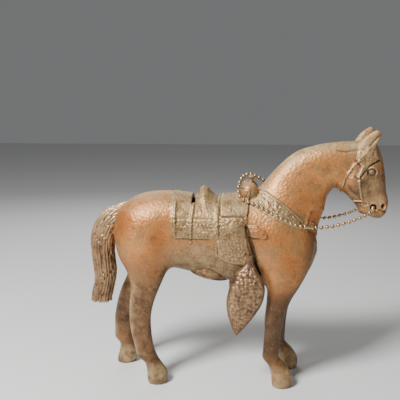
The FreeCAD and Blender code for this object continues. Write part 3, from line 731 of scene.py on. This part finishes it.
# Tail: outer x, z, inner x, z, half width, from its end up to the dock inside the rump.
TAIL = [
    (-121.2, 62.6, -103.6, 61.8, 8.6),
    (-120.2, 70.0, -101.6, 71.0, 9.3),
    (-117.8, 80.5, -99.4, 81.0, 9.6),
    (-118.4, 90.5, -98.6, 90.0, 9.6),
    (-119.8, 103.0, -99.6, 101.5, 9.4),
    (-120.2, 115.8, -99.6, 111.5, 9.0),
    (-117.5, 127.0, -97.8, 119.5, 8.6),
    (-112.3, 135.8, -94.8, 125.0, 8.2),
    (-105.8, 141.0, -91.5, 128.5, 7.8),
    (-98.3, 144.2, -88.5, 131.0, 7.2),
    (-90.0, 147.2, -85.0, 134.0, 6.4),
    (-82.0, 148.6, -80.0, 138.0, 5.0),
]
STIRRUP_OUT = 26.2  # middle of a stirrup cover, from the centre plane
# Stirrup cover: z, back x, front x, half thickness.
STIRRUP = [
    (44.6, 2.0, 4.0, 1.2),
    (46.5, 0.8, 5.6, 2.4),
    (51.0, -0.8, 9.2, 4.0),
    (60.0, -3.8, 16.2, 5.6),
    (71.0, -5.3, 22.8, 6.5),
    (82.0, -3.5, 25.0, 6.6),
    (90.0, -1.0, 23.3, 5.9),
    (96.0, 2.0, 20.0, 4.8),
    (100.5, 7.0, 17.6, 3.4),
    (104.0, 9.4, 15.8, 2.4),
    (110.0, 9.6, 15.4, 1.9),
]


def make_tail(material):
    """Hanging hair: locks that wave down the tail, with ragged ends."""
    rows, columns = smoothed(TAIL, 20), 168
    turn = np.arange(columns) * 2 * np.pi / columns
    down = np.arange(len(rows))[:, None] / 20
    wave = 1.5 * np.sin(down * 1.25) + 0.5 * np.sin(down * 2.9 + 2 * turn)
    locks = np.sin(9 * turn + wave) + 0.55 * np.sin(17 * turn - 1.7 * wave + 1.0)
    locks = np.abs(locks) ** 0.6
    fade = smoothstep(11.0, 8.5, down)
    deep = (1.1 - 1.3 * locks) * fade
    top, low = rows[:, [0, 1]], rows[:, [2, 3]]
    reach = np.hypot(*(top - low).T)[:, None] / 2 - 0.3 - deep.clip(-0.2, 1)
    half = rows[:, 4:5] - 0.3 - deep.clip(-0.2, 1)
    up = (top - low) / np.hypot(*(top - low).T)[:, None]
    c, s = np.cos(turn)[None, :], np.sin(turn)[None, :]
    x = (top[:, :1] + low[:, :1]) / 2 + up[:, :1] * c * reach
    z = (top[:, 1:] + low[:, 1:]) / 2 + up[:, 1:] * c * reach
    y = s * half
    ragged = 1.6 * (locks[:1] - 0.8) * np.exp(-((down / 0.35) ** 2))
    points = np.stack([x, y, z - ragged], axis=2)
    middle = np.array((-112.4, 0, 62.6))
    caps = [middle + (points[0] - middle) * k for k in (0.03, 0.45, 0.8, 0.95)]
    points = np.concatenate([np.stack(caps), points])
    grooves = smoothstep(0.5, 0.0, locks) * fade
    grooves = np.concatenate([np.repeat(grooves[:1], 4, axis=0), grooves])
    tail = add_mesh("tail_hair", points.reshape(-1, 3), grid_faces(len(points), columns), material)
    # painted shade in the grooves between the locks
    set_mask(tail, "groove", grooves.ravel())
    # painted highlight: the upper tail is painted paler, away from the grooves
    set_mask(tail, "wear_and_highlight", (0.9 * smoothstep(108, 138, points[..., 2]) * (1 - grooves)).ravel())
    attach(tail, "casting")
    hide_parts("tail")


def make_stirrup_cover(name, side, node, material):
    """A leaf-shaped cover with a plain rim round a hammered, knobbly field."""
    rows, columns = smoothed(STIRRUP, 14), 132
    turn = np.arange(columns) * 2 * np.pi / columns
    c, s = np.cos(turn)[None, :], np.sin(turn)[None, :]
    u = np.sign(c) * np.abs(c) ** 0.85
    v = np.sign(s) * np.abs(s) ** 0.85
    z, back, front, thick = (rows[:, i:i + 1] for i in range(4))
    x = (back + front) / 2 + u * (front - back) / 2
    z = z + 0 * u
    outline = [(r[1], r[0]) for r in rows] + [(r[2], r[0]) for r in rows[::-1]]
    rim = inside(x, z, outline)
    field = smoothstep(1.7, 2.6, rim) * (z < 101)
    knobs = 0.7 * beading(x, z, 3.0, 11.0) + 0.4 * beading(x + 0.7, z, 1.9, 17.0)
    lift = (1.5 * knobs - 0.95) * field
    y = STIRRUP_OUT + v * (thick - 0.1 + lift * np.abs(v))
    points = np.stack([x, y * side, z], axis=2)
    faces = grid_faces(len(rows), columns)
    if side == RIGHT:
        faces = faces[:, ::-1]
    cover = add_mesh(name, points.reshape(-1, 3), faces, material)
    # groove: painted shade between the knobs, and a darker plain rim
    set_mask(cover, "groove", (0.75 * field * smoothstep(0.35, 0.05, knobs) + 0.45 * (1 - field)).ravel())
    set_mask(cover, "wear_and_highlight", (field * smoothstep(0.55, 1.0, knobs)).ravel())
    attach(cover, "casting")
    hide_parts(node)


def make_trap_seat(material):
    """The ring in the belly that the trap closes: a ledge with two notches for the lock's bar."""
    centre, out, ahead, left = trap_axes()
    columns = [(math.radians(a), RING_HOLE) for a in range(16, 165, 4)]
    notch = [(math.asin(NOTCH_HALF / r), r) for r in (RING_HOLE, RING_BORE)] + [(0.0, RING_BORE)]
    half = [*reversed(notch), *columns, *((math.pi - a, r) for a, r in notch[:2])]
    turns = half + [(a + math.pi, r) for a, r in half]
    wide = RING_BORE + 0.1
    points, faces = [], []
    for angle, inner in turns:
        radial = math.cos(angle) * ahead + math.sin(angle) * left
        for r, depth in ((inner, 0), (RING_OUTSIDE, 0), (RING_OUTSIDE, -RING_DEPTH), (wide, -RING_DEPTH),
                         (wide, -LEDGE_DEPTH), (inner, -LEDGE_DEPTH)):
            points.append(centre + radial * r + out * depth)
    for i in range(len(turns)):
        for j in range(6):
            a, b = i * 6, (i + 1) % len(turns) * 6
            faces.append((a + j, a + (j + 1) % 6, b + (j + 1) % 6, b + j))
    seat = add_mesh("trap_seat", np.array(points), np.array(faces), material, smooth=False)
    # painted shade: the ring is browned like the shaded belly round it
    set_mask(seat, "brown", np.full(len(points), 0.8))
    set_mask(seat, "leather", np.full(len(points), 0.6))
    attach(seat, "casting")


# ---------------------------------------------------------------- materials


class Nodes:
    """A short way to write a material's node tree."""

    def __init__(self, name):
        self.material = bpy.data.materials.new(name)
        self.material.use_nodes = True
        self.tree = self.material.node_tree
        self.shader = self.tree.nodes["Principled BSDF"]
        self.place = self.add("ShaderNodeTexCoord").outputs["Object"]

    def add(self, kind, **settings):
        node = self.tree.nodes.new(kind)
        for key, value in settings.items():
            setattr(node, key, value)
        return node

    def put(self, socket, value):
        if isinstance(value, bpy.types.NodeSocket):
            self.tree.links.new(value, socket)
        elif isinstance(value, tuple) and len(value) == 3 and socket.type == "RGBA":
            socket.default_value = (*value, 1)
        else:
            socket.default_value = value

    def noise(self, scale, detail=4.0, roughness=0.55, distortion=0.0):
        node = self.add("ShaderNodeTexNoise")
        self.put(node.inputs["Vector"], self.place)
        settings = {"Scale": scale, "Detail": detail, "Roughness": roughness, "Distortion": distortion}
        for key, value in settings.items():
            node.inputs[key].default_value = value
        return node.outputs["Fac"]

    def cells(self, scale, feature="F1"):
        node = self.add("ShaderNodeTexVoronoi", feature=feature)
        self.put(node.inputs["Vector"], self.place)
        node.inputs["Scale"].default_value = scale
        return node.outputs["Distance"]

    def mask(self, name):
        return self.add("ShaderNodeAttribute", attribute_name=name).outputs["Fac"]

    def math(self, operation, a, b=0.0, clamp=False):
        node = self.add("ShaderNodeMath", operation=operation, use_clamp=clamp)
        self.put(node.inputs[0], a)
        self.put(node.inputs[1], b)
        return node.outputs[0]

    def ramp(self, value, low, high, to_low=0.0, to_high=1.0):
        node = self.add("ShaderNodeMapRange", clamp=True)
        keys = ("Value", "From Min", "From Max", "To Min", "To Max")
        for key, part in zip(keys, (value, low, high, to_low, to_high)):
            self.put(node.inputs[key], part)
        return node.outputs["Result"]

    def mix(self, amount, a, b):
        node = self.add("ShaderNodeMix", data_type="RGBA")
        self.put(node.inputs["Factor"], amount)
        self.put(node.inputs[6], a)
        self.put(node.inputs[7], b)
        return node.outputs[2]

    def bump(self, height, strength, distance, under=None):
        node = self.add("ShaderNodeBump")
        self.put(node.inputs["Height"], height)
        node.inputs["Strength"].default_value = strength
        node.inputs["Distance"].default_value = distance
        if under is not None:
            self.put(node.inputs["Normal"], under)
        return node.outputs["Normal"]

    def finish(self, color, roughness, metallic, normal=None, coat=0.0):
        self.put(self.shader.inputs["Base Color"], color)
        self.put(self.shader.inputs["Roughness"], roughness)
        self.put(self.shader.inputs["Metallic"], metallic)
        self.shader.inputs["Coat Weight"].default_value = coat
        if normal is not None:
            self.put(self.shader.inputs["Normal"], normal)
        return self.material


def copper_finish():
    """Worn copper wash: orange where rubbed, olive tan where dusty and where a highlight is painted, brown
    and speckled below and where shade is painted, and near black as painted shade in the creases.
    """
    n = Nodes("worn_copper")
    broad, medium, fine = n.noise(38, 3), n.noise(160, 5, 0.6), n.noise(900, 4, 0.7)
    copper = n.mix(n.ramp(broad, 0.35, 0.68), (0.44, 0.15, 0.036), (0.60, 0.265, 0.085))
    copper = n.mix(n.ramp(medium, 0.50, 0.72, 0, 0.75), copper, (0.17, 0.07, 0.024))
    copper = n.mix(n.ramp(n.noise(75, 4, 0.6), 0.48, 0.68, 0, 0.75), copper, (0.24, 0.15, 0.065))
    # brown: brown below, and painted shade on the chest and on faces turned down or away from the key light
    brown = n.mix(n.ramp(medium, 0.35, 0.65), (0.085, 0.042, 0.018), (0.24, 0.125, 0.055))
    brown = n.mix(n.ramp(fine, 0.58, 0.70, 0, 0.7), brown, (0.40, 0.29, 0.17))
    amount = n.math("MULTIPLY", n.mask("brown"), n.ramp(broad, 0.3, 0.65, 1.25, 0.8), True)
    color = n.mix(amount, copper, brown)
    # dust colour, also used for the painted highlights on the neck top and the hind legs
    dust_and_highlight = n.mix(n.ramp(medium, 0.3, 0.7), (0.22, 0.15, 0.065), (0.50, 0.36, 0.18))
    amount = n.math("MULTIPLY", n.mask("dust_and_highlight"), n.ramp(medium, 0.28, 0.62, 0.35, 1.1), True)
    color = n.mix(amount, color, dust_and_highlight)
    leather = n.mix(n.ramp(medium, 0.35, 0.65), (0.14, 0.082, 0.034), (0.36, 0.245, 0.115))
    leather = n.mix(n.ramp(fine, 0.5, 0.66, 0, 0.7), leather, (0.50, 0.365, 0.19))
    color = n.mix(n.math("MULTIPLY", n.mask("leather"), 0.85), color, leather)
    # wear on raised edges, and a painted highlight on the nose
    color = n.mix(n.math("MULTIPLY", n.mask("wear_and_highlight"), 0.5), color, (0.62, 0.43, 0.23))
    # painted shade: near black in the recesses, the creases, under flap edges, in the eye socket and on the
    # foreleg
    color = n.mix(n.math("MULTIPLY", n.mask("dark"), 0.92), color, (0.03, 0.016, 0.008))
    color = n.mix(n.ramp(fine, 0.62, 0.76, 0, 0.5), color, (0.60, 0.44, 0.26))
    roughness = n.ramp(medium, 0.3, 0.7, 0.30, 0.5)
    roughness = n.math("ADD", roughness, n.math("MULTIPLY", n.mask("dust_and_highlight"), 0.2))
    metallic = n.math("SUBTRACT", 0.55, n.math("MULTIPLY", n.mask("dust_and_highlight"), 0.35))
    normal = n.bump(n.cells(420), 0.5, 0.0005)
    normal = n.bump(fine, 0.45, 0.0003, normal)
    return n.finish(color, roughness, metallic, normal)


def brown_finish(name):
    """Brown patina, pale where it is worn and where a highlight is painted on the tail's top, and painted
    almost black as shade in the grooves.
    """
    n = Nodes(name)
    medium, fine = n.noise(120, 5, 0.6), n.noise(700, 4, 0.7)
    color = n.mix(n.ramp(medium, 0.32, 0.66), (0.13, 0.06, 0.025), (0.36, 0.21, 0.10))
    color = n.mix(n.ramp(fine, 0.56, 0.68, 0, 0.7), color, (0.48, 0.34, 0.19))
    # wear on the knob tops, and a painted highlight on the upper tail
    color = n.mix(n.math("MULTIPLY", n.mask("wear_and_highlight"), 0.55), color, (0.55, 0.38, 0.20))
    # painted shade: almost black in the grooves between the tail's locks and between the knobs
    color = n.mix(n.math("MULTIPLY", n.mask("groove"), 0.9), color, (0.02, 0.011, 0.006))
    normal = n.bump(n.cells(330), 0.35, 0.0003)
    normal = n.bump(fine, 0.3, 0.0002, normal)
    return n.finish(color, n.ramp(medium, 0.3, 0.7, 0.28, 0.46), 0.5, normal, coat=0.15)


def plated_finish(name, light, dark, roughness=0.3, scale=300):
    """Tarnished plating or turned metal."""
    n = Nodes(name)
    medium, fine = n.noise(scale, 4, 0.6), n.noise(scale * 6, 3, 0.7)
    color = n.mix(n.ramp(medium, 0.4, 0.66), light, dark)
    color = n.mix(n.ramp(fine, 0.62, 0.72, 0, 0.6), color, tuple(c * 0.4 for c in dark))
    gloss = n.ramp(medium, 0.3, 0.7, roughness, roughness + 0.18)
    return n.finish(color, gloss, 0.85, n.bump(fine, 0.15, 0.0001))


# ---------------------------------------------------------------- reins

CHAIN_DIAMETER, BEAD_PITCH = 3.2, 4.2
REIN_FRONT = [
    (109.0, -0.4, 146.0),
    (109.0, -10.5, 146.0),
    (105.5, -13.8, 142.8),
    (98.5, -14.6, 139.0),
    (88.5, -14.9, 134.9),
    (77.0, -15.1, 131.7),
    (67.6, -15.0, 130.37),
    (62.0, -16.4, 131.0),
]
REIN_REAR = [
    (54.0, -18.4, 131.9),
    (48.0, -19.9, 132.575),
    (40.0, -21.2, 136.8),
    (31.0, -21.0, 141.2),
    (21.8, -18.8, 145.9),
    (13.2, -16.2, 149.7),
    (5.6, -13.8, 152.2),
    (2.4, -9.6, 157.8),
    (3.8, -5.4, 164.6),
    (6.4, 0.4, 169.3),
    (12.6, 7.0, 170.3),
    (20.5, 11.0, 166.0),
    (29.5, 15.6, 159.8),
    (40.0, 18.6, 151.6),
    (51.0, 20.2, 143.2),
    (61.5, 18.8, 135.6),
    (72.0, 17.0, 131.8),
    (84.0, 15.4, 134.3),
    (96.0, 14.9, 138.4),
    (105.2, 13.9, 142.9),
    (109.0, 10.5, 146.0),
    (109.0, 0.4, 146.0),
]


def spline_points(name, route):
    """Points along the smooth NURBS line of a route, in mm."""
    curve = bpy.data.curves.new(name, "CURVE")
    curve.dimensions = "3D"
    curve.resolution_u = 24
    spline = curve.splines.new("NURBS")
    spline.points.add(len(route) - 1)
    for point, place in zip(spline.points, route):
        point.co = (*(Vector(place) * MM), 1)
    spline.order_u = 3
    spline.use_endpoint_u = True
    item = bpy.data.objects.new(name, curve)
    bpy.context.scene.collection.objects.link(item)
    mesh = bpy.data.meshes.new_from_object(item)
    points = np.array([v.co for v in mesh.vertices]) / MM
    bpy.data.objects.remove(item)
    bpy.data.curves.remove(curve)
    bpy.data.meshes.remove(mesh)
    return points


def walk(points, distances):
    """Places and directions at distances along a line of points."""
    steps = np.linalg.norm(np.diff(points, axis=0), axis=1)
    length = np.concatenate([[0], np.cumsum(steps)])
    places = np.stack([np.interp(distances, length, points[:, i]) for i in range(3)], axis=1)
    ahead = np.stack([np.interp(distances + 0.4, length, points[:, i]) for i in range(3)], axis=1)
    behind = np.stack([np.interp(distances - 0.4, length, points[:, i]) for i in range(3)], axis=1)
    ways = ahead - behind
    return places, ways / np.linalg.norm(ways, axis=1)[:, None]


def lathe(profile, centre, axis, segments):
    """Points and quads of a profile of (radius, height) turned about an axis."""
    axis = np.array(axis, float) / np.linalg.norm(axis)
    side = np.cross(axis, (0, 0, 1) if abs(axis[2]) < 0.9 else (1, 0, 0))
    side = side / np.linalg.norm(side)
    other = np.cross(axis, side)
    turn = np.arange(segments) * 2 * np.pi / segments
    rings = []
    for radius, height in profile:
        circle = np.outer(np.cos(turn), side) + np.outer(np.sin(turn), other)
        rings.append(np.array(centre) + circle * radius + axis * height)
    return np.vstack(rings), grid_faces(len(profile), segments)


def joined(parts):
    """One set of points and quads from several."""
    points, faces, start = [], [], 0
    for p, f in parts:
        points.append(p)
        faces.append(f + start)
        start += len(p)
    return np.vstack(points), np.vstack(faces)


def make_chain(name, route, node, material):
    """Hollow beads with a waist between them, each pair held by a thin link, along the route."""
    line = spline_points(name + "_route", route)
    length = np.linalg.norm(np.diff(line, axis=0), axis=1).sum()
    count = round(length / BEAD_PITCH)
    pitch = length / count
    radius = CHAIN_DIAMETER / 2
    places, ways = walk(line, (np.arange(count) + 0.5) * pitch)
    lat = np.linspace(0, np.pi, 13)
    bead = [(max(radius * math.sin(a), 0.02), -radius * math.cos(a)) for a in lat]
    link = [(0.02, -0.75), (0.42, -0.72), (0.42, 0.72), (0.02, 0.75)]
    parts = [lathe(bead, place, way, 18) for place, way in zip(places, ways)]
    places, ways = walk(line, np.arange(1, count) * pitch)
    parts += [lathe(link, place, way, 8) for place, way in zip(places, ways)]
    points, faces = joined(parts)
    chain = add_mesh(name, points, faces, material)
    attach(chain, "casting")
    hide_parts(node)
    return length


def make_connector(material):
    """The split barrel that snaps over the end beads."""
    start, end = np.array(REIN_FRONT[-1]), np.array(REIN_REAR[0])
    length = np.linalg.norm(end - start)
    profile = [(0.9, 0.0), (1.7, 0.0), (2.1, 0.5), (2.15, 1.4), (1.85, 2.0), (1.85, length - 2.0),
               (2.15, length - 1.4), (2.1, length - 0.5), (1.7, length), (0.9, length), (0.9, 0.0)]
    points, faces = lathe(profile, start, end - start, 28)
    barrel = add_mesh("chain_barrel", points, faces, material)
    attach(barrel, "casting")
    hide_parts("chain_connector")
    return barrel


# ---------------------------------------------------------------- build

add_camera()
add_studio()
chain_metal = plated_finish("chain_plating", (0.58, 0.41, 0.23), (0.27, 0.16, 0.08), 0.24, 500)
barrel = make_connector(chain_metal)
front_length = make_chain("reins_front", REIN_FRONT, "rein_chain_front", chain_metal)
rear_length = make_chain("reins_rear", REIN_REAR, "rein_chain_rear", chain_metal)
print(f"rein chain: front {front_length:.0f} mm, rear {rear_length:.0f} mm")

copper = copper_finish()
for name, side, node in (("horse_right", RIGHT, "body_right_half"), ("horse_left", LEFT, "body_left_half")):
    half = make_half(name, side, copper, 1.0)
    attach(half, "casting")
    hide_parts(node)
    print(name, len(half.data.polygons), "faces")

make_trap_seat(copper)
brown = brown_finish("brown_patina")
make_tail(brown)
make_stirrup_cover("stirrup_cover_right", RIGHT, "tapadero_right", brown)
make_stirrup_cover("stirrup_cover_left", LEFT, "tapadero_left", brown)
steel = plated_finish("trap_plating", (0.30, 0.22, 0.15), (0.15, 0.095, 0.055), 0.38)
brass = plated_finish("lock_brass", (0.72, 0.55, 0.27), (0.48, 0.33, 0.14), 0.28)
for node in ("trap_cover", "trap_skirt", "lock_housing", "lock_nut", "lock_plug", "lock_washer",
             "lock_bar", "lock_rivet"):
    finish = brass if node in ("lock_housing", "lock_plug") else steel
    frame["nodes"][node].data.materials.clear()
    frame["nodes"][node].data.materials.append(finish)
